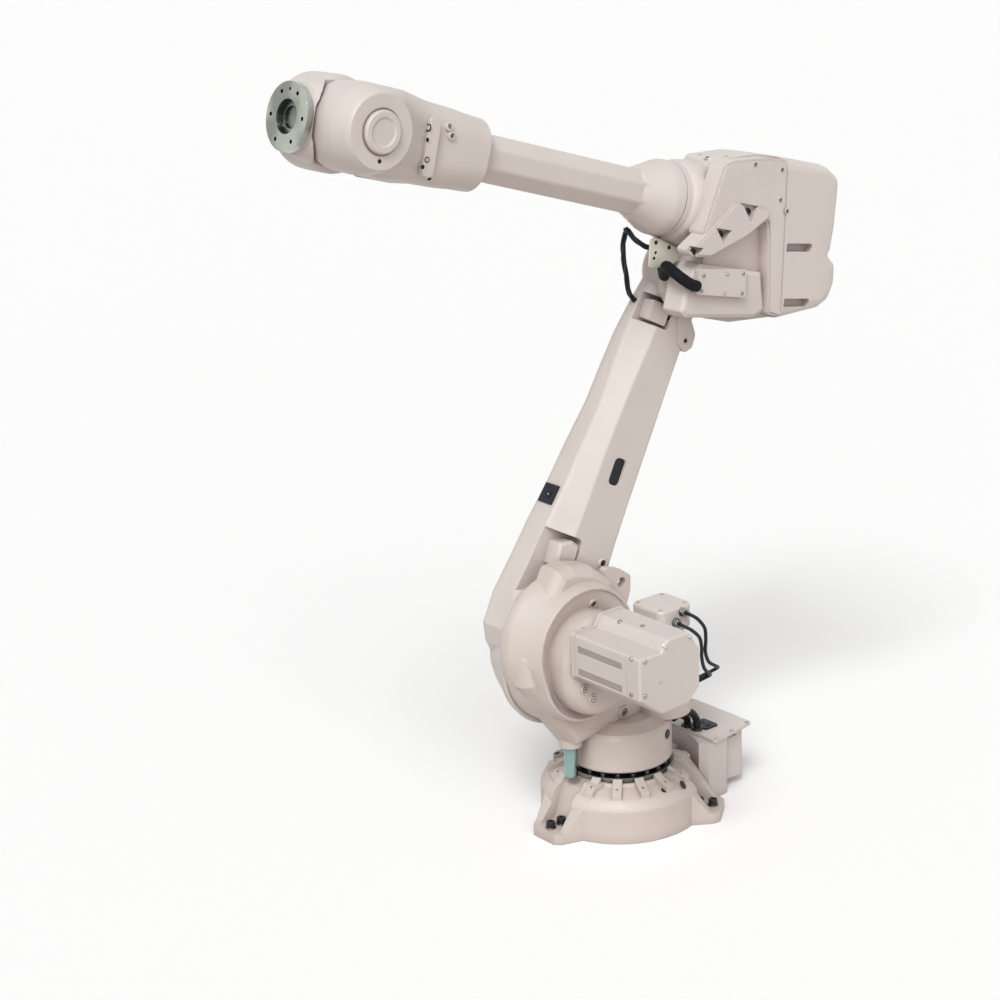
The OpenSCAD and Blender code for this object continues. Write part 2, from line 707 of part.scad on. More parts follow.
// Forearm tube: round ring that runs into an eight-sided tube
wrist_back = 411;
function tube_outline(gap) =
    let (r = (tube_half + gap) / cos(22.5))
    rounded([for (a = [22.5:45:360]) [r * cos(a), r * sin(a), 14]]);
module forearm_tube() {
    color(paint)
        at_elbow()
            translate([0, 0, elbow_rise]) {
                turned_x([[0, neck_x + bearing_gap], [neck_r - 12, neck_x + bearing_gap], [neck_r - 12, neck_x + 1.4],
                          [neck_r - 2, neck_x + 1.4], [neck_r, neck_x + 3], [neck_r - 1, neck_x + 26],
                          [neck_r - 5, neck_x + 40], [tube_half + 3, neck_x + 118], [0, neck_x + 150]]);
                translate([neck_x + 30, 0, 0])
                    rotate([0, 90, 0])
                        linear_extrude(height = fore_length - wrist_back - neck_x - 10)
                            polygon(tube_outline(0));
            }
}

// Wrist housing: round rear body that becomes a cheek on the near side of axis 5
function wrist_ring(x, yn, yf, h, r) =
    [for (p = rounded([[yn, -h, r], [yn, h, r], [yf, h, r], [yf, -h, r]], 7)) [x, p[0], p[1]]];
// Space that the tilting body and the tool flange sweep as axis 5 turns
module swing_room() {
    sweep = norm([tool_length, flange_r]) + 6;
    bar_y(-140, 24, sweep);
    difference() {
        bar_y(0, flange_r + 8, sweep);
        bar_y(-1, flange_r + 9, cheek_r + 2);
    }
}
module wrist_housing() {
    color(paint)
        at_wrist()
            difference() {
                union() {
                    loft([wrist_ring(-wrist_back, 76, -76, 76, 60), wrist_ring(-wrist_back + 14, 90, -90, 90, 70),
                          wrist_ring(-330, 93, -93, 93, 66), wrist_ring(-300, 97, -97, 96, 66),
                          wrist_ring(-214, wrist_r, -wrist_r, wrist_r, 64),
                          wrist_ring(-150, 112, -104, 106, 62), wrist_ring(-100, 140, -100, 107, 50), wrist_ring(-50, 150, -90, 106, 46),
                          wrist_ring(0, 152, -80, 104, 46)]);
                    turned_y([[0, 24], [cheek_r - 6, 24], [cheek_r, 32], [cheek_r + 2, 90], [cheek_r, 130], [cheek_r - 6, 154],
                              [cheek_r - 13, 176], [cheek_r - 18, cheek_face], [0, cheek_face]]);
                }
                swing_room();
                translate([-wrist_back - 1, 0, 0])
                    rotate([0, 90, 0])
                        linear_extrude(height = 21.3)
                            polygon(tube_outline(0.3));
                side_slab(inset(pad_line, -0.3), wrist_r - 2, 140);
                bar_y(cheek_face - 5, cheek_face + 1, 54);
            }
    color(paint)
        at_wrist()
            bar_y(18 + bearing_gap, 25, hub_r - 5);
}
module wrist_cap() {
    color(paint)
        at_wrist()
            turned_y([[0, cheek_face - 5 + eps], [50, cheek_face - 5 + eps], [50, cheek_face + 6], [46, cheek_face + 10],
                      [34, cheek_face + 10], [30, cheek_face + 7], [0, cheek_face + 7]]);
}
pad_line = [[-222, -76, 14], [-186, -76, 14], [-184, 62, 14], [-216, 66, 14]];
module wrist_pad() {
    color(paint)
        at_wrist()
            side_slab(pad_line, wrist_r - 2 + 0.3, 114);
}

// Tilting wrist body with the neck of the tool flange
module tilt_housing() {
    color(paint)
        at_tool()
            difference() {
                union() {
                    turned_y([[0, -112], [tilt_r - 22, -112], [tilt_r - 8, -104], [tilt_r - 1, -90], [tilt_r, -60], [tilt_r, 0],
                              [tilt_r - 4, 10], [tilt_r - 14, 18], [0, 18]]);
                    turned_x([[0, 20], [100, 20], [97, 60], [90, 88], [84, 100], [76, 106],
                              [74, tool_length - flange_thickness - 4], [0, tool_length - flange_thickness - 4]]);
                }
                bar_y(18, 200, cheek_r + 7);
            }
}
module tilt_cover() {
    color(paint)
        at_tool()
            turned_y([[0, -118], [66, -118], [72, -115], [72, -112 - eps], [0, -112 - eps]]);
}

// Tool flange with its bolt circle, pin hole and stepped bore
module tool_flange() {
    color(steel)
        at_tool()
            translate([tool_length - flange_thickness, 0, 0])
                difference() {
                    union() {
                        bar_x(0, flange_thickness, flange_r);
                        bar_x(-4 + bearing_gap, 1, flange_r - 26);
                    }
                    bar_x(4, flange_thickness + 1, flange_bore_r);
                    bar_x(-2, flange_thickness + 1, flange_bore_r - 14);
                    for (a = [0:60:300])
                        rotate([a, 0, 0])
                            translate([0, flange_circle, 0])
                                bar_x(-1, flange_thickness + 1, flange_hole_r);
                    translate([0, 0, flange_circle])
                        bar_x(5, flange_thickness + 1, pin_hole_r);
                }
}

base_casting();
bearing_ring();
connector_box();
box_lid();
box_cover();
lid_plate();
cover_knob();
frame_casting();
stop_pin();
column_plugs();
shoulder_motor();
shoulder_motor_cap();
turn_motor();
turn_motor_cap();
turn_motor_gland();
motor_cables();
supply_hoses();
lower_arm();
arm_window();
arm_plate();
lower_stop();
upper_stop();
stop_pads();
elbow_housing();
elbow_cover();
connection_plate();
hose_bracket();
elbow_hose();
arm_cables();
forearm_tube();
wrist_housing();
wrist_cap();
wrist_pad();
tilt_housing();
tilt_cover();
tool_flange();
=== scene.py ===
"""Looks of a six-axis industrial robot arm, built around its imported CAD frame."""
import json
import math

import bmesh
import bpy
from mathutils import Matrix, Vector
from mathutils.bvhtree import BVHTree


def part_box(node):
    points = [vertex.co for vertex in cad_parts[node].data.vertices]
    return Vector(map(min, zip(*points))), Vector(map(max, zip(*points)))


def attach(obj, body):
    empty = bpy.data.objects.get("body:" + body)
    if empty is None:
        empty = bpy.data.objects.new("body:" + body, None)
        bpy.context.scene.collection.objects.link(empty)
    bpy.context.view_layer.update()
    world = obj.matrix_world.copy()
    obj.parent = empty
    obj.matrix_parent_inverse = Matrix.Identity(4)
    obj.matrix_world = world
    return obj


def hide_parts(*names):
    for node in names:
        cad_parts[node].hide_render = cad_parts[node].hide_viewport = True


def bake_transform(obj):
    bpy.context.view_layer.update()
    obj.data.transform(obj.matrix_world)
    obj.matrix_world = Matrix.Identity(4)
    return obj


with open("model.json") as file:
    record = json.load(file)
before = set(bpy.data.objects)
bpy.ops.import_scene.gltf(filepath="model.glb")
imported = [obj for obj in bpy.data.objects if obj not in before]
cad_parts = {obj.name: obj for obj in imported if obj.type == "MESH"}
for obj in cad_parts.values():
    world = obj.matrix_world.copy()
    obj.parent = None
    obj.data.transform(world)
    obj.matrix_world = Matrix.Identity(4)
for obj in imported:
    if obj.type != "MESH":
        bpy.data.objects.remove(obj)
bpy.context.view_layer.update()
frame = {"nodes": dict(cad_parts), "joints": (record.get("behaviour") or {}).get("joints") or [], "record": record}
nodes = frame["nodes"]

MM = 0.001

# Camera that saw the arm, in metres and in pixels of a square photograph
PHOTO_SIDE = 1000.0
FOCAL_PIXELS = 2268.88
CENTRE_PIXEL = (558.92, 519.96)
EYE = Vector((3.85113, 4.31367, 2.77954))
RIGHT = Vector((-0.75749, 0.65234, -0.02571))
UP = Vector((-0.22449, -0.22329, 0.94855))
BACK = RIGHT.cross(UP)

# Posture of the arm and the places of its axes
LEAN = 26.9
RISE = 17.02
TOOL_RISE = 14.14
AXES = {joint["name"]: Vector(joint["pos_m"]) for joint in frame["joints"]}


def tilted(origin, degrees):
    """Frame of reference at an axis, turned up about Y as the CAD part is."""
    return Matrix.Translation(origin) @ Matrix.Rotation(math.radians(-degrees), 4, "Y")


BASE = Matrix.Identity(4)
SHOULDER = tilted(AXES["axis_2"], 0)
LOWER = tilted(AXES["axis_2"], LEAN)
ELBOW = tilted(AXES["axis_3"], RISE)
WRIST = tilted(AXES["axis_5"], RISE)
TOOL = tilted(AXES["axis_5"], TOOL_RISE)


# Camera and light
def add_camera():
    data = bpy.data.cameras.new("camera")
    data.sensor_width = 36.0
    data.lens = FOCAL_PIXELS / PHOTO_SIDE * data.sensor_width
    data.shift_x = (PHOTO_SIDE / 2 - CENTRE_PIXEL[0]) / PHOTO_SIDE
    data.shift_y = (CENTRE_PIXEL[1] - PHOTO_SIDE / 2) / PHOTO_SIDE
    data.clip_end = 500.0
    camera = bpy.data.objects.new("camera", data)
    turn = Matrix((RIGHT, UP, BACK)).transposed().to_4x4()
    camera.matrix_world = Matrix.Translation(EYE) @ turn
    bpy.context.scene.collection.objects.link(camera)
    bpy.context.scene.camera = camera


def add_sun(name, direction, strength, colour, spread):
    data = bpy.data.lights.new(name, "SUN")
    data.energy = strength
    data.color = colour
    data.angle = math.radians(spread)
    lamp = bpy.data.objects.new(name, data)
    lamp.rotation_euler = Vector(direction).to_track_quat("Z", "Y").to_euler()
    bpy.context.scene.collection.objects.link(lamp)


def seen_directly(tree):
    """1 for rays from the camera, from a gloss or through a clear body, else 0."""
    path = tree.nodes.new("ShaderNodeLightPath")
    first = tree.nodes.new("ShaderNodeMath")
    first.operation = "MAXIMUM"
    tree.links.new(path.outputs["Is Camera Ray"], first.inputs[0])
    tree.links.new(path.outputs["Is Glossy Ray"], first.inputs[1])
    both = tree.nodes.new("ShaderNodeMath")
    both.operation = "MAXIMUM"
    tree.links.new(first.outputs[0], both.inputs[0])
    tree.links.new(path.outputs["Is Transmission Ray"], both.inputs[1])
    return both.outputs[0]


def add_world(level):
    world = bpy.data.worlds.new("studio")
    bpy.context.scene.world = world
    world.use_nodes = True
    tree = world.node_tree
    light = tree.nodes["Background"]
    light.inputs["Color"].default_value = (1.0, 0.955, 0.93, 1)
    light.inputs["Strength"].default_value = level
    backdrop = tree.nodes.new("ShaderNodeBackground")
    backdrop.inputs["Color"].default_value = (1, 1, 1, 1)
    mix = tree.nodes.new("ShaderNodeMixShader")
    tree.links.new(seen_directly(tree), mix.inputs[0])
    tree.links.new(light.outputs[0], mix.inputs[1])
    tree.links.new(backdrop.outputs[0], mix.inputs[2])
    tree.links.new(mix.outputs[0], tree.nodes["World Output"].inputs["Surface"])


def add_floor():
    mesh = bpy.data.meshes.new("floor")
    half = 150.0
    level = -0.0005
    mesh.from_pydata([(-half, -half, level), (half, -half, level), (half, half, level), (-half, half, level)],
                     [], [(0, 1, 2, 3)])
    floor = bpy.data.objects.new("floor", mesh)
    bpy.context.scene.collection.objects.link(floor)
    material = bpy.data.materials.new("pale floor")
    material.use_nodes = True
    tree = material.node_tree
    surface = tree.nodes["Principled BSDF"]
    shade = tree.nodes.new("ShaderNodeMix")
    shade.data_type = "RGBA"
    shade.inputs["A"].default_value = (0.55, 0.49, 0.46, 1)
    shade.inputs["B"].default_value = (1, 1, 1, 1)
    tree.links.new(seen_directly(tree), shade.inputs["Factor"])
    tree.links.new(shade.outputs["Result"], surface.inputs["Base Color"])
    lift = tree.nodes.new("ShaderNodeMath")
    lift.operation = "MULTIPLY"
    lift.inputs[1].default_value = 0.06
    tree.links.new(seen_directly(tree), lift.inputs[0])
    tree.links.new(lift.outputs[0], surface.inputs["Emission Strength"])
    surface.inputs["Emission Color"].default_value = (1, 0.9, 0.88, 1)
    surface.inputs["Roughness"].default_value = 0.9
    surface.inputs["Specular IOR Level"].default_value = 0.1
    mesh.materials.append(material)


# Materials
class Finish:
    """A Principled material with small helpers to wire its nodes."""

    def __init__(self, name, roughness, metallic=0.0, coat=0.0):
        self.material = bpy.data.materials.new(name)
        self.material.use_nodes = True
        self.tree = self.material.node_tree
        self.surface = self.tree.nodes["Principled BSDF"]
        self.surface.inputs["Roughness"].default_value = roughness
        self.surface.inputs["Metallic"].default_value = metallic
        self.surface.inputs["Coat Weight"].default_value = coat
        self.surface.inputs["Coat Roughness"].default_value = 0.3
        self.place = self.tree.nodes.new("ShaderNodeTexCoord").outputs["Object"]

    def node(self, kind, **settings):
        made = self.tree.nodes.new(kind)
        for key, value in settings.items():
            setattr(made, key, value)
        return made

    def link(self, source, target):
        self.tree.links.new(source, target)

    def noise(self, scale, detail=3.0, stretch=(1, 1, 1)):
        """Noise with so many features a metre."""
        mapping = self.node("ShaderNodeMapping")
        mapping.inputs["Scale"].default_value = stretch
        self.link(self.place, mapping.inputs["Vector"])
        texture = self.node("ShaderNodeTexNoise")
        texture.inputs["Scale"].default_value = scale
        texture.inputs["Detail"].default_value = detail
        self.link(mapping.outputs[0], texture.inputs["Vector"])
        return texture.outputs["Fac"]

    def spread(self, value, low, high, to_low, to_high):
        """The value carried from one range to another, held at its ends."""
        ranged = self.node("ShaderNodeMapRange")
        ranged.inputs["From Min"].default_value = low
        ranged.inputs["From Max"].default_value = high
        ranged.inputs["To Min"].default_value = to_low
        ranged.inputs["To Max"].default_value = to_high
        self.link(value, ranged.inputs["Value"])
        return ranged.outputs["Result"]

    def mixed(self, factor, first, second):
        """One colour fading into another by a factor; each is a socket or a plain value."""
        mix = self.node("ShaderNodeMix", data_type="RGBA")
        for name, value in (("Factor", factor), ("A", first), ("B", second)):
            socket = mix.inputs[name]
            if isinstance(value, bpy.types.NodeSocket):
                self.link(value, socket)
            elif isinstance(value, tuple):
                socket.default_value = (*value, 1)
            else:
                socket.default_value = value
        return mix.outputs["Result"]

    def rounded_edges(self, radius):
        bevel = self.node("ShaderNodeBevel", samples=4)
        bevel.inputs["Radius"].default_value = radius
        return bevel.outputs["Normal"]

    def edge_mask(self, rounded):
        """0 on the flats and rising towards 1 along an edge; machine paint uses it to paint lighter edges."""
        geometry = self.node("ShaderNodeNewGeometry")
        dot = self.node("ShaderNodeVectorMath", operation="DOT_PRODUCT")
        self.link(rounded, dot.inputs[0])
        self.link(geometry.outputs["Normal"], dot.inputs[1])
        return self.spread(dot.outputs["Value"], 0.865, 0.995, 1.0, 0.0)

    def creases(self, distance):
        """1 in the open and falling towards 0 in corners and gaps, where the finishes paint shade."""
        hidden = self.node("ShaderNodeAmbientOcclusion", samples=6)
        hidden.inputs["Distance"].default_value = distance
        return hidden.outputs["AO"]

    def bump(self, height, distance, strength=1.0, under=None):
        bump = self.node("ShaderNodeBump")
        bump.inputs["Strength"].default_value = strength
        bump.inputs["Distance"].default_value = distance
        self.link(height, bump.inputs["Height"])
        if under is not None:
            self.link(under, bump.inputs["Normal"])
        return bump.outputs["Normal"]

    def wear(self, normal):
        self.link(normal, self.surface.inputs["Normal"])

    def colour(self, source):
        self.link(source, self.surface.inputs["Base Color"])

    def rough(self, source):
        self.link(source, self.surface.inputs["Roughness"])


def machine_paint(name, light, deep, grain, grain_depth, edge):
    """Satin machine paint over a casting, paler on edges as painted highlight and worn paint, and darkened in the
    creases as painted shade.
    """
    finish = Finish(name, 0.45, coat=0.12)
    rounded = finish.rounded_edges(edge)
    tone = finish.mixed(finish.spread(finish.noise(3.2, 4.0), 0.35, 0.65, 0.0, 1.0), light, deep)
    specks = finish.spread(finish.noise(420.0, 1.0), 0.66, 0.74, 0.0, 0.22)
    tone = finish.mixed(specks, tone, tuple(0.72 * c for c in light))
    # Painted highlight and worn paint: the colour turns paler along the edges.
    tone = finish.mixed(finish.spread(finish.edge_mask(rounded), 0.0, 1.0, 0.0, 0.45), tone,
                        tuple(min(1.0, 1.13 * c) for c in light))
    # Painted shade: the colour darkens towards mauve brown in creases, corners and gaps.
    painted_crease_shade = finish.spread(finish.creases(0.035), 0.25, 0.95, 0.62, 0.0)
    tone = finish.mixed(painted_crease_shade, tone, (0.36, 0.275, 0.27))
    finish.colour(tone)
    finish.rough(finish.spread(finish.noise(38.0, 3.0), 0.3, 0.7, 0.38, 0.54))
    swell = finish.bump(finish.noise(14.0, 2.0), 0.0022, 0.5, rounded)
    finish.wear(finish.bump(finish.noise(grain, 4.0), grain_depth, 0.6, swell))
    return finish.material


def machined_steel(name, colour, roughness, stretch):
    """Machined or plated steel with fine tool marks along one direction, with painted shade that darkens it in
    creases and bores.
    """
    finish = Finish(name, roughness, metallic=1.0)
    rounded = finish.rounded_edges(0.0012)
    marks = finish.noise(260.0, 3.0, stretch)
    tone = finish.mixed(finish.spread(finish.noise(9.0, 2.0), 0.42, 0.60, 0.0, 1.0), colour,
                        tuple(0.55 * c for c in colour))
    # Painted shade: the colour darkens to near black in creases, bores and gaps.
    shade = finish.spread(finish.creases(0.05), 0.45, 0.98, 0.93, 0.0)
    finish.colour(finish.mixed(shade, tone, (0.035, 0.035, 0.035)))
    finish.rough(finish.spread(marks, 0.3, 0.7, roughness - 0.05, roughness + 0.06))
    finish.wear(finish.bump(marks, 0.00002, 0.3, rounded))
    return finish.material


def dark_moulding(name, colour, roughness, grain, depth):
    """Black plastic, rubber or blackened steel with its own fine grain."""
    finish = Finish(name, roughness)
    finish.surface.inputs["Specular IOR Level"].default_value = 0.28
    rounded = finish.rounded_edges(0.001)
    tint = finish.spread(finish.noise(22.0, 3.0), 0.3, 0.7, 0.0, 1.0)
    finish.colour(finish.mixed(tint, colour, tuple(2.0 * c for c in colour)))
    finish.rough(finish.spread(finish.noise(70.0, 2.0), 0.3, 0.7, roughness - 0.07, roughness + 0.1))
    finish.wear(finish.bump(finish.noise(grain, 2.0), depth, 0.6, rounded))
    return finish.material


def braided_sheath(name, colour):
    """Woven cable sheath: two crossing sets of fine diagonal waves."""
    finish = Finish(name, 0.7)
    finish.surface.inputs["Specular IOR Level"].default_value = 0.15
    waves = []
    for turn in (50, -50):
        mapping = finish.node("ShaderNodeMapping")
        mapping.inputs["Rotation"].default_value = (math.radians(turn), math.radians(turn), 0)
        finish.link(finish.place, mapping.inputs["Vector"])
        wave = finish.node("ShaderNodeTexWave")
        wave.inputs["Scale"].default_value = 95.0
        wave.inputs["Distortion"].default_value = 0.6
        finish.link(mapping.outputs[0], wave.inputs["Vector"])
        waves.append(wave.outputs["Fac"])
    weave = finish.node("ShaderNodeMath", operation="MULTIPLY")
    finish.link(waves[0], weave.inputs[0])
    finish.link(waves[1], weave.inputs[1])
    finish.colour(finish.mixed(finish.spread(weave.outputs[0], 0.1, 0.7, 0.0, 1.0), colour,
                               tuple(3.0 * c for c in colour)))
    finish.wear(finish.bump(weave.outputs[0], 0.0008, 0.8))
    return finish.material


FINISHES = {
    "paint": machine_paint("cast iron paint", (0.650, 0.575, 0.525), (0.600, 0.520, 0.470),
                           230.0, 0.0009, 0.004),
    "light_paint": machine_paint("aluminium paint", (0.690, 0.622, 0.582), (0.65, 0.580, 0.538),
                                 340.0, 0.0005, 0.0035),
    "bracket": machine_paint("cream bracket", (0.76, 0.745, 0.64), (0.70, 0.69, 0.59), 300.0, 0.0003, 0.0012),
    "steel": machined_steel("machined steel", (0.42, 0.42, 0.40), 0.34, (1, 1, 1)),
    "black_plastic": dark_moulding("black plastic", (0.009, 0.010, 0.014), 0.40, 500.0, 0.0002),
    "black_rubber": dark_moulding("black rubber", (0.006, 0.006, 0.007), 0.55, 900.0, 0.0002),
}
PIN_STEEL = machined_steel("plated pin", (0.29, 0.43, 0.41), 0.2, (1, 1, 0.06))
FLANGE_STEEL = machined_steel("tool flange steel", (0.47, 0.50, 0.44), 0.24, (1, 1, 1))
BOLT_BLACK = dark_moulding("blackened screw", (0.014, 0.013, 0.014), 0.34, 600.0, 0.0001)
ZINC = machined_steel("zinc screw", (0.62, 0.60, 0.57), 0.36, (1, 1, 1))
# Painted shade: near-black material for the inside of open holes, where there is only shade.
SHADOW = dark_moulding("painted hole shade", (0.006, 0.005, 0.006), 0.8, 300.0, 0.0002)
SHEATH = braided_sheath("woven sheath", (0.004, 0.004, 0.005))
JACKET = dark_moulding("cable jacket", (0.006, 0.010, 0.014), 0.36, 500.0, 0.0001)

NODE_FINISHES = {
    "stop_pin": PIN_STEEL,
    "tool_flange": FLANGE_STEEL,
    "turn_motor_gland": ZINC,
    "elbow_hose": SHEATH,
}

WELD_DISTANCE = 0.00002
SMOOTH_ANGLE = 24


def smooth_by_angle(degrees):
    """Geometry nodes that join coincident corners and shade across edges flatter than an angle."""
    group = bpy.data.node_groups.new("smooth by angle", "GeometryNodeTree")
    group.interface.new_socket("Geometry", in_out="INPUT", socket_type="NodeSocketGeometry")
    group.interface.new_socket("Geometry", in_out="OUTPUT", socket_type="NodeSocketGeometry")
    start = group.nodes.new("NodeGroupInput")
    end = group.nodes.new("NodeGroupOutput")
    weld = group.nodes.new("GeometryNodeMergeByDistance")
    weld.inputs["Distance"].default_value = WELD_DISTANCE
    faces = group.nodes.new("GeometryNodeSetShadeSmooth")
    faces.domain = "FACE"
    bend = group.nodes.new("GeometryNodeInputMeshEdgeAngle")
    flat = group.nodes.new("FunctionNodeCompare")
    flat.operation = "LESS_EQUAL"
    flat.inputs[1].default_value = math.radians(degrees)
    edges = group.nodes.new("GeometryNodeSetShadeSmooth")
    edges.domain = "EDGE"
    group.links.new(start.outputs[0], weld.inputs["Geometry"])
    group.links.new(weld.outputs[0], faces.inputs["Geometry"])
    group.links.new(bend.outputs["Unsigned Angle"], flat.inputs[0])
    group.links.new(flat.outputs[0], edges.inputs["Shade Smooth"])
    group.links.new(faces.outputs[0], edges.inputs["Geometry"])
    group.links.new(edges.outputs[0], end.inputs[0])
    return group


def dress_cad_nodes():
    """Gives each CAD node its material and a smoothed shading; its shape stays."""
    smoothing = smooth_by_angle(SMOOTH_ANGLE)
    for row in frame["record"]["subparts"]:
        finish = NODE_FINISHES.get(row["node"], FINISHES[row["material_slot"]])
        node = nodes[row["node"]]
        node.data.materials.clear()
        node.data.materials.append(finish)
        if node.data.has_custom_normals:
            node.data.attributes.remove(node.data.attributes["custom_normal"])
        node.modifiers.new("smoothing", "NODES").node_group = smoothing
        node.modifiers.new("evening", "WEIGHTED_NORMAL").keep_sharp = True


# Mesh helpers
SIDES = 24


def hexagon(radius):
    """Radius of a hexagon at an angle, so that it can be one ring of a turned shape."""
    half = math.pi / 6
    return lambda a: radius * math.cos(half) / math.cos((a + half) % (2 * half) - half)


def turned(mesh, at, stations, sides=SIDES, index=0):
    """Adds a closed turned shape about local Z; a station is (radius or ring function, height)."""
    rings = []
    for radius, height in stations:
        ring = []
        for k in range(sides):
            a = 2 * math.pi * k / sides
            r = radius(a) if callable(radius) else radius
            ring.append(mesh.verts.new(at @ Vector((r * math.cos(a), r * math.sin(a), height))))
        rings.append(ring)
    faces = [mesh.faces.new(list(reversed(rings[0]))), mesh.faces.new(rings[-1])]
    for low, high in zip(rings, rings[1:]):
        for k in range(sides):
            faces.append(mesh.faces.new((low[k], low[(k + 1) % sides], high[(k + 1) % sides], high[k])))
    for face in faces:
        face.material_index = index
        face.smooth = True


def as_piece(name, mesh, body, materials, crease=35):
    """Turns a bmesh into a piece that rides on a body."""
    data = bpy.data.meshes.new(name)
    bmesh.ops.recalc_face_normals(mesh, faces=mesh.faces)
    mesh.to_mesh(data)
    mesh.free()
    for material in materials:
        data.materials.append(material)
    data.set_sharp_from_angle(angle=math.radians(crease))
    piece = bpy.data.objects.new(name, data)
    bpy.context.scene.collection.objects.link(piece)
    if body:
        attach(piece, body)
    return piece


def facing(point, normal, spin=0.0):
    """Frame of reference at a point, with Z along the normal."""
    turn = normal.to_track_quat("Z", "Y").to_matrix().to_4x4()
    return Matrix.Translation(point) @ turn @ Matrix.Rotation(math.radians(spin), 4, "Z")


SURFACES = {}


def surface(node):
    if node not in SURFACES:
        SURFACES[node] = BVHTree.FromPolygons([v.co.copy() for v in nodes[node].data.vertices],
                                              [tuple(p.vertices) for p in nodes[node].data.polygons])
    return SURFACES[node]


def seat(origin, direction, names):
    """Where a line first meets one of the CAD nodes, as a frame of reference facing out of it."""
    hits = [surface(name).ray_cast(origin, direction) for name in names]
    hits = [hit for hit in hits if hit[0] is not None]
    if not hits:
        raise ValueError("no surface of %s on the line from %s" % (names, tuple(origin)))
    point, normal = min(hits, key=lambda hit: hit[3])[:2]
    if normal.dot(direction) > 0:
        normal = -normal
    return facing(point, normal)


def seen_at(pixel, *names):
    """The place on the CAD nodes that the photograph shows at a pixel."""
    across = (pixel[0] - CENTRE_PIXEL[0]) / FOCAL_PIXELS
    down = (pixel[1] - CENTRE_PIXEL[1]) / FOCAL_PIXELS
    return seat(EYE, (across * RIGHT - down * UP - BACK).normalized(), names)


def beside(place, start, direction, *names):
    """The place on the CAD nodes met from a point of a local frame, in millimetres."""
    origin = place @ (Vector(start) * MM)
    return seat(origin, (place.to_3x3() @ Vector(direction)).normalized(), names)


# Fasteners; each takes a bmesh, its place and its size in metres
def socket_screw(mesh, at, head, height, index=0):
    """Cap screw with a hexagon socket."""
    socket = hexagon(0.46 * head)
    edge = 0.08 * head
    turned(mesh, at, [(head, -0.0008), (head, height - edge), (head - edge, height), (socket, height),
                      (socket, height * 0.45)], index=index)


def pan_screw(mesh, at, head, height, index=0):
    """Low domed screw with a hexagon socket."""
    socket = hexagon(0.42 * head)
    turned(mesh, at, [(head, -0.0008), (head, 0.15 * height), (0.9 * head, 0.62 * height),
                      (0.68 * head, 0.95 * height), (0.56 * head, height), (socket, height),
                      (socket, 0.35 * height)], index=index)


def washer(mesh, at, radius, bore, thickness, index=0):
    turned(mesh, at, [(bore, -0.0005), (radius, -0.0005), (radius, thickness * 0.8),
                      (radius * 0.96, thickness), (bore, thickness), (bore, thickness * 0.2)], index=index)


def boss(mesh, at, radius, bore, height, index=0):
    """Raised round boss with a bore that a screw head sits in."""
    turned(mesh, at, [(radius + 0.0015, -0.001), (radius, height * 0.35), (radius - 0.0006, height * 0.9),
                      (radius - 0.0016, height), (bore + 0.0006, height), (bore, height - 0.0006),
                      (bore, 0.0002)], index=index)


def dimple(mesh, at, radius, index=0):
    """Mouth of a threaded hole: a countersunk rim round a bottom, in a dark material that paints the shade inside
    the hole.
    """
    turned(mesh, at, [(radius, -0.0003), (radius, 0.0003), (radius * 0.8, 0.0003),
                      (radius * 0.72, 0.0001)], index=index)


def lifted(at, height):
    return at @ Matrix.Translation((0, 0, height))


def washered_screw(mesh, at, radius, bore, head):
    """Pan screw on a thin washer of this radius and bore."""
    washer(mesh, at, radius, bore, 0.0008)
    pan_screw(mesh, lifted(at, 0.0006), head, 0.0026)


def bossed_screw(mesh, at, ring, screw, sunk=0.0004, index=0):
    """Cap screw in a boss: ring is the boss's radius, bore and height, screw the head and its height."""
    boss(mesh, at, *ring, 1)
    socket_screw(mesh, lifted(at, -sunk), *screw, index)


# Base
FOOT_ANGLES = (0, 128, -128)
FLOOR_BOLTS = (221, 259)
FOOT_TOP = 29
BASE_PLUG_PIXEL = (683.0, 784.7)
RIB_PLUG_ANGLES = (86, -64, 171)
RIB_PLUG_CIRCLE = 192
LID_SCREW_X = (-242, -312, -384)
LID_SCREW_Y = 136
LID_TAPER = 0.16


def floor_bolts():
    mesh = bmesh.new()
    for angle in FOOT_ANGLES:
        for radius in FLOOR_BOLTS:
            spot = Matrix.Rotation(math.radians(angle), 4, "Z") @ Vector((radius * MM, 0, FOOT_TOP * MM))
            at = Matrix.Translation(spot) @ Matrix.Rotation(0.4 * radius + angle, 4, "Z")
            washer(mesh, at, 0.0155, 0.0088, 0.003, 1)
            socket_screw(mesh, lifted(at, 0.003), 0.0125, 0.0155)
    as_piece("floor_bolts", mesh, "base", [BOLT_BLACK, ZINC])


def base_plugs():
    mesh = bmesh.new()
    at = seen_at(BASE_PLUG_PIXEL, "base_casting")
    turned(mesh, at, [(0.0125, -0.001), (0.0125, 0.001), (0.0115, 0.002), (0.009, 0.0024), (0.0085, 0.0012)])
    turned(mesh, at, [(0.0062, 0.0002), (0.0062, 0.0016), (0.0052, 0.0022)])
    for angle in RIB_PLUG_ANGLES:
        x = RIB_PLUG_CIRCLE * math.cos(math.radians(angle))
        y = RIB_PLUG_CIRCLE * math.sin(math.radians(angle))
        turned(mesh, beside(BASE, (x, y, 300), (0, 0, -1), "base_casting"),
               [(0.0085, -0.001), (0.0085, 0.0008), (0.0072, 0.0016)])
    as_piece("base_plugs", mesh, "base", [FINISHES["black_plastic"]])


def box_screws():
    mesh = bmesh.new()
    for x in LID_SCREW_X:
        for side in (1, -1):
            y = side * (LID_SCREW_Y + LID_TAPER * (x - LID_SCREW_X[0]))
            washered_screw(mesh, beside(BASE, (x, y, 260), (0, 0, -1), "box_lid"), 0.0062, 0.004, 0.0048)
    for y in (-70, 70):
        for z in (48, 128):
            at = beside(BASE, (-500, y, z), (1, 0, 0), "box_cover")
            pan_screw(mesh, at, 0.0052, 0.003)
    as_piece("box_screws", mesh, "base", [ZINC])


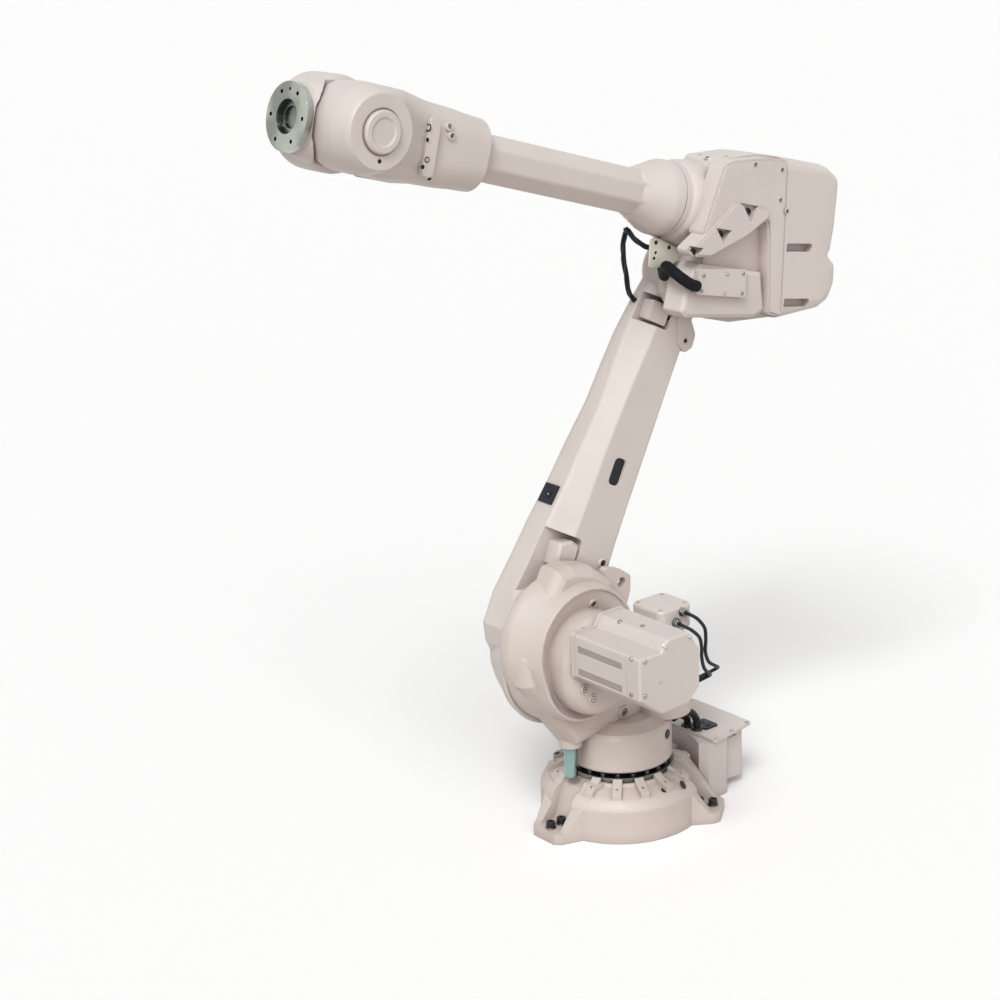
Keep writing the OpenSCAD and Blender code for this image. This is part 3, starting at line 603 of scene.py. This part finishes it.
def lid_plate_sockets():
    """Two round sockets on the black plate of the lid."""
    mesh = bmesh.new()
    low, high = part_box("lid_plate")
    centre = (Vector(low) + Vector(high)) / 2
    for step in (-1, 1):
        spot = Vector((centre.x, centre.y + step * 0.013, high[2]))
        turned(mesh, Matrix.Translation(spot), [(0.0095, -0.0005), (0.0095, 0.0012), (0.0085, 0.0018),
                                                (0.007, 0.0018), (0.0065, 0.0004)])
    as_piece("lid_plate_sockets", mesh, "base", [FINISHES["black_plastic"]])


def flutes(angle):
    """Radius of the knob's fluted grip at an angle."""
    return 0.0128 + 0.0007 * math.cos(12 * angle)


def knob_grip():
    mesh = bmesh.new()
    low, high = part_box("cover_knob")
    at = facing(Vector((low[0], (low[1] + high[1]) / 2, (low[2] + high[2]) / 2)), Vector((-1, 0, 0)))
    turned(mesh, at, [(flutes, -0.0005), (flutes, 0.0035), (0.0112, 0.0045), (0.009, 0.0045),
                      (0.0082, 0.003)], sides=96)
    as_piece("knob_grip", mesh, "base", [FINISHES["black_plastic"]])


# Turning frame
DRUM_SCREW_PIXELS = ((592.9, 603.5), (584.5, 631.5), (584.5, 689.3), (592.9, 698.7))
FRAME_SCREW_PIXEL = (622.8, 711.7)


def drum_screws():
    """Screws in raised bosses round the drum of axis 2, and a larger one below it."""
    mesh = bmesh.new()
    for pixel in DRUM_SCREW_PIXELS:
        at = seen_at(pixel, "frame_casting")
        bossed_screw(mesh, at, (0.0135, 0.0092, 0.0045), (0.0074, 0.0042), sunk=0.0006)
    at = seen_at(FRAME_SCREW_PIXEL, "frame_casting")
    bossed_screw(mesh, at, (0.018, 0.0125, 0.008), (0.0105, 0.006))
    as_piece("drum_screws", mesh, "frame", [ZINC, FINISHES["paint"]])


MOTOR_TOP_PIXELS = ((620.0, 621.6), (642.4, 625.9), (690.0, 637.1), (664.8, 646.4))
MOTOR_CAP_PIXELS = ((645.2, 662.3), (645.2, 696.4))
MOTOR_FLANGE_PIXELS = ((631.2, 659.1), (631.2, 694.9))
MOTOR_HUB_PIXEL = (660.1, 680.9)
MOTOR_REAR_Z = (44, 116)
MOTOR_REAR_Y = (330, 384)
TURN_MOTOR_AXIS = (-115, 52)
TURN_MOTOR_SCREWS = 44.72


def motor_screws():
    mesh = bmesh.new()
    for pixel in MOTOR_TOP_PIXELS + MOTOR_FLANGE_PIXELS + MOTOR_CAP_PIXELS:
        at = seen_at(pixel, "shoulder_motor", "shoulder_motor_cap")
        washered_screw(mesh, at, 0.0066, 0.0042, 0.0050)
    for z in MOTOR_REAR_Z:
        for y in MOTOR_REAR_Y:
            at = beside(SHOULDER, (-200, y, z), (1, 0, 0), "shoulder_motor", "shoulder_motor_cap")
            washered_screw(mesh, at, 0.0066, 0.0042, 0.0050)
    at = seen_at(MOTOR_HUB_PIXEL, "shoulder_motor_cap")
    turned(mesh, at, [(0.0075, -0.0008), (0.0075, 0.0009), (0.006, 0.0015), (0.003, 0.0015),
                      (0.0028, 0.0006)], index=1)
    for across, along in ((-1, -1), (1, -1), (1, 1), (-1, 1)):
        x = TURN_MOTOR_AXIS[0] + TURN_MOTOR_SCREWS * across
        y = TURN_MOTOR_AXIS[1] + TURN_MOTOR_SCREWS * along
        pan_screw(mesh, beside(BASE, (x, y, 700), (0, 0, -1), "turn_motor_cap"), 0.0046, 0.0024)
    as_piece("motor_screws", mesh, "frame", [ZINC, FINISHES["light_paint"]])


GLANDS = ((-134, 585), (-108, 560))
GLAND_FACE_Y = 113


def gland_nuts():
    """Hexagon nut, collar and dome nut of each cable gland on the upright motor."""
    mesh = bmesh.new()
    for x, z in GLANDS:
        at = facing(Vector((x, GLAND_FACE_Y, z)) * MM, Vector((0, 1, 0)), 15)
        turned(mesh, at, [(hexagon(0.0138), 0.0004), (hexagon(0.0138), 0.006), (0.0118, 0.0072)])
        turned(mesh, lifted(at, 0.0085), [(hexagon(0.0132), 0.0), (hexagon(0.0132), 0.0052),
                                          (0.0105, 0.0068), (0.0078, 0.0078), (0.0062, 0.0078)])
    as_piece("gland_nuts", mesh, "frame", [ZINC])


# Lower arm
STOP_SCREW_PIXELS = ((668.4, 318.4), (685.2, 340.8))
ARM_BOSS_PIXEL = (602.3, 563.3)
ARM_PLATE_PIXEL = (548.5, 494.0)
FAR_SCREW_Z = (150, 700, 860)


def arm_screws():
    mesh = bmesh.new()
    for pixel in STOP_SCREW_PIXELS:
        at = seen_at(pixel, "lower_arm", "upper_stop")
        bossed_screw(mesh, at, (0.0105, 0.0072, 0.002), (0.006, 0.0016))
    at = seen_at(ARM_BOSS_PIXEL, "lower_arm")
    bossed_screw(mesh, at, (0.015, 0.0098, 0.0045), (0.0082, 0.0026))
    for z in FAR_SCREW_Z:
        at = beside(LOWER, (0, -400, z), (0, 1, 0), "lower_arm")
        bossed_screw(mesh, at, (0.013, 0.0085, 0.0024), (0.007, 0.0018))
    as_piece("arm_screws", mesh, "lower_arm", [BOLT_BLACK, FINISHES["light_paint"]])


def arm_plate_face():
    """Connector insert on the black plate of the lower arm."""
    mesh = bmesh.new()
    at = seen_at(ARM_PLATE_PIXEL, "arm_plate")
    turned(mesh, at, [(0.0095, -0.0005), (0.0095, 0.0022), (0.008, 0.003), (0.0068, 0.003), (0.0064, 0.0006)])
    turned(mesh, at, [(0.003, -0.0005), (0.003, 0.0018), (0.0022, 0.0024)], index=1)
    as_piece("arm_plate_socket", mesh, "lower_arm", [FINISHES["black_plastic"], ZINC])


# Elbow
TOP_SCREW_PIXELS = ((700.1, 154.6), (707.3, 157.6), (726.8, 156.5), (755.6, 164.5), (782.3, 169.8))
FACE_SCREW_PIXELS = ((780.4, 200.0), (787.1, 211.2))
PLATE_SCREWS = ((136, 0), (132, -40), (52, 16), (48, -34), (-8, 26), (-18, -26))
BRACKET_HOLE_PIXELS = ((655.6, 252.6), (654.0, 258.2))
BRACKET_SCREW_PIXELS = ((669.0, 247.4), (655.8, 242.4))
RIB_POCKETS = ((16, 188), (100, 114), (186, 56))


def elbow_screws():
    mesh = bmesh.new()
    for pixel in TOP_SCREW_PIXELS + FACE_SCREW_PIXELS:
        at = seen_at(pixel, "elbow_housing", "elbow_cover")
        bossed_screw(mesh, at, (0.0082, 0.0056, 0.0012), (0.0046, 0.0012))
    for x, z in RIB_POCKETS:
        at = beside(ELBOW, (x, 300, z), (0, -1, 0), "elbow_housing")
        washer(mesh, at, 0.0105, 0.006, 0.0012, 1)
        socket_screw(mesh, lifted(at, 0.001), 0.0078, 0.0075)
    for x, z in PLATE_SCREWS:
        at = beside(ELBOW, (x, 300, z), (0, -1, 0), "connection_plate")
        pan_screw(mesh, at, 0.0052, 0.0028, 2)
    for pixel in BRACKET_SCREW_PIXELS:
        at = seen_at(pixel, "hose_bracket")
        pan_screw(mesh, at, 0.0056, 0.003)
    for pixel in BRACKET_HOLE_PIXELS:
        at = seen_at(pixel, "hose_bracket")
        dimple(mesh, at, 0.0042, 3)
    as_piece("elbow_screws", mesh, "elbow", [BOLT_BLACK, FINISHES["light_paint"], ZINC, SHADOW])


# Wrist
PAD_RING_PIXELS = ((428.6, 127.8), (427.0, 159.8))
PAD_HOLE_PIXELS = ((427.5, 139.8), (422.7, 167.0))
WRIST_BOSS_PIXELS = ((448.6, 127.0), (451.0, 135.8))
WRIST_HOLE_PIXELS = ((429.4, 179.0), (379.5, 161.4))
TILT_COVER_SCREWS = 8
TILT_COVER_CIRCLE = 58


def wrist_details():
    """Ring fittings of the pad, with screws and threaded holes round them."""
    mesh = bmesh.new()
    for pixel, size in zip(PAD_RING_PIXELS, (0.0095, 0.0072)):
        at = seen_at(pixel, "wrist_pad", "wrist_housing")
        turned(mesh, at, [(size, -0.0005), (size, 0.0007), (0.86 * size, 0.0011), (0.8 * size, 0.0004)])
        turned(mesh, at, [(0.62 * size, 0.0), (0.62 * size, 0.0013), (0.5 * size, 0.0019),
                          (0.28 * size, 0.0019), (0.26 * size, 0.0006)], index=1)
    for pixel in PAD_HOLE_PIXELS + WRIST_HOLE_PIXELS:
        dimple(mesh, seen_at(pixel, "wrist_pad", "wrist_housing"), 0.0052, 2)
    for pixel in WRIST_BOSS_PIXELS:
        at = seen_at(pixel, "wrist_housing")
        bossed_screw(mesh, at, (0.0115, 0.0066, 0.006), (0.0056, 0.0036), index=3)
    as_piece("wrist_fittings", mesh, "forearm",
             [FINISHES["black_plastic"], FINISHES["light_paint"], SHADOW, ZINC])


def tilt_cover_screws():
    mesh = bmesh.new()
    for k in range(TILT_COVER_SCREWS):
        a = 2 * math.pi * (k + 0.5) / TILT_COVER_SCREWS
        spot = (TILT_COVER_CIRCLE * math.cos(a), -300, TILT_COVER_CIRCLE * math.sin(a))
        at = beside(TOOL, spot, (0, 1, 0), "tilt_cover")
        pan_screw(mesh, at, 0.0046, 0.0024)
    as_piece("tilt_cover_screws", mesh, "wrist_tilt", [ZINC])


# Cables; the routes are those of the CAD solids, in millimetres
def smooth_route(points, steps):
    """Points along the smooth curve through a route, in metres."""
    points = [Vector(p) * MM for p in points]
    made = []
    for i in range(len(points) - 1):
        a, b, c = points[max(i - 1, 0)], points[i], points[i + 1]
        d = points[min(i + 2, len(points) - 1)]
        for k in range(steps):
            t = k / steps
            made.append(0.5 * (2 * b + (c - a) * t + (2 * a - 5 * b + 4 * c - d) * t ** 2
                               + (3 * b - a - 3 * c + d) * t ** 3))
    return made + [points[-1]]


def tube(name, path, radius, material, sides=16):
    """Closed tube along a path; its ring of points turns as little as it can."""
    mesh = bmesh.new()
    rings = []
    across = None
    for i, point in enumerate(path):
        along = (path[min(i + 1, len(path) - 1)] - path[max(i - 1, 0)]).normalized()
        if across is None:
            across = along.orthogonal().normalized()
        across = (across - along * across.dot(along)).normalized()
        other = along.cross(across)
        rings.append([mesh.verts.new(point + radius * (math.cos(2 * math.pi * k / sides) * across
                                                       + math.sin(2 * math.pi * k / sides) * other))
                      for k in range(sides)])
    for low, high in zip(rings, rings[1:]):
        for k in range(sides):
            mesh.faces.new((low[k], low[(k + 1) % sides], high[(k + 1) % sides], high[k])).smooth = True
    mesh.faces.new(rings[0])
    mesh.faces.new(rings[-1])
    return as_piece(name, mesh, None, [material], crease=60)


def cord(name, path, radius, material, nodes_it_replaces):
    piece = tube(name, path, radius, material)
    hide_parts(*nodes_it_replaces)
    return piece


MOTOR_CABLES = (
    ((-134, 129.4, 585), (-134, 150, 584), (-150, 160, 570), (-176, 158, 538), (-188, 150, 500),
     (-190, 146, 462), (-200, 148, 430), (-226, 146, 410), (-248, 136, 396), (-252, 120, 384),
     (-236, 108, 374), (-206, 99, 366), (-184.7, 88.3, 362)),
    ((-108, 129.4, 560), (-108, 150, 558), (-124, 162, 546), (-152, 162, 518), (-168, 154, 484),
     (-174, 148, 450), (-184, 146, 416), (-206, 140, 392), (-228, 126, 376), (-232, 106, 362),
     (-214, 84, 346), (-190, 75.7, 340)))
LID_TOP = 181
SUPPLY_HOSES = (
    ((-141, 63, 250), (-170, 66, 259), (-212, 62, 248), (-242, 52, 218), (-248, 50, LID_TOP + 14),
     (-248, 50, LID_TOP + 0.8)),
    ((-149, 28, 232), (-178, 30, 238), (-214, 24, 228), (-240, 16, 208), (-245, 14, LID_TOP + 12),
     (-245, 14, LID_TOP + 0.8)))
ELBOW_HOSE = (
    (153.6, 150, -30), (178, 150, -28), (202, 138, -18), (214, 110, -4), (206, 76, 4), (178, 46, -10),
    (152, 20, -20), (144, 0, 2), (147, -9, 26), (152, -10, 46), (155, -10, 60.4))
ARM_CABLES = (
    (200, 6, 1135.2), (197.2, 6, 1119), (208, 4, 1106), (230, 0, 1100), (256, -8, 1106),
    (276, -20, 1119), (279, -32, 1125), (268, -46, 1124), (257, -54, 1108), (244, -62, 1088),
    (222, -74, 1066), (192, -88, 1046), (168, -96, 1024), (148, -100, 1004), (128, -103, 984),
    (113.1, -102.5, 976.6), (101.4, -104, 974.6))
MOTOR_CABLE_RADIUS = 0.005
SUPPLY_HOSE_RADIUS = 0.0105
ELBOW_HOSE_RADIUS = 0.015
STRANDS = 3
STRAND_RADIUS = 0.0036
STRAND_CIRCLE = 0.0042
STRAND_TURNS_A_METRE = 13 / 3


def motor_cables():
    for number, route in enumerate(MOTOR_CABLES):
        path = smooth_route(route, 6)
        piece = cord("motor_cable_%d" % (number + 1), path, MOTOR_CABLE_RADIUS, JACKET, ["motor_cables"])
        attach(piece, "frame")


def supply_hoses():
    for number, route in enumerate(SUPPLY_HOSES):
        path = smooth_route(route, 8)
        piece = cord("supply_hose_%d" % (number + 1), path, SUPPLY_HOSE_RADIUS, FINISHES["black_rubber"],
                     ["supply_hoses"])
        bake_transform(piece)


def hose_unions():
    """Collars where the supply hoses enter the lid."""
    mesh = bmesh.new()
    for route in SUPPLY_HOSES:
        at = Matrix.Translation(Vector((route[-1][0], route[-1][1], LID_TOP)) * MM)
        turned(mesh, at, [(hexagon(0.0182), 0.0002), (hexagon(0.0182), 0.0048), (0.0158, 0.0062),
                          (0.0145, 0.0075), (0.0134, 0.0075)])
    as_piece("hose_unions", mesh, "base", [BOLT_BLACK])


def elbow_hose():
    path = [ELBOW @ p for p in smooth_route(ELBOW_HOSE, 6)]
    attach(cord("elbow_hose_sheath", path, ELBOW_HOSE_RADIUS, SHEATH, ["elbow_hose"]), "elbow")


def arm_cables():
    """Three strands that wind slowly round each other along the route."""
    path = [LOWER @ p for p in smooth_route(ARM_CABLES, 6)]
    run = 0.0
    offsets = []
    for i, point in enumerate(path):
        along = (path[min(i + 1, len(path) - 1)] - path[max(i - 1, 0)]).normalized()
        side = along.cross(Vector((0, 1, 0))).normalized()
        run += (point - path[i - 1]).length if i else 0.0
        offsets.append((side, along.cross(side), STRAND_TURNS_A_METRE * 2 * math.pi * run))
    for number in range(STRANDS):
        start = 2 * math.pi * number / STRANDS
        wound = [p + STRAND_CIRCLE * (math.cos(turn + start) * u + math.sin(turn + start) * w)
                 for p, (u, w, turn) in zip(path, offsets)]
        piece = cord("arm_cable_%d" % (number + 1), wound, STRAND_RADIUS, JACKET, ["arm_cables"])
        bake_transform(piece)


add_camera()
add_world(0.34)
add_sun("key", (0.58, 0.38, 0.85), 1.8, (0.95, 0.99, 1.0), 24)
add_sun("fill", (0.45, 0.85, 0.5), 1.1, (0.96, 0.985, 1.0), 60)
add_floor()
bpy.context.scene.view_settings.view_transform = "Standard"

motor_cables()
supply_hoses()
elbow_hose()
arm_cables()
dress_cad_nodes()
floor_bolts()
base_plugs()
box_screws()
lid_plate_sockets()
knob_grip()
hose_unions()
drum_screws()
motor_screws()
gland_nuts()
arm_screws()
arm_plate_face()
elbow_screws()
wrist_details()
tilt_cover_screws()
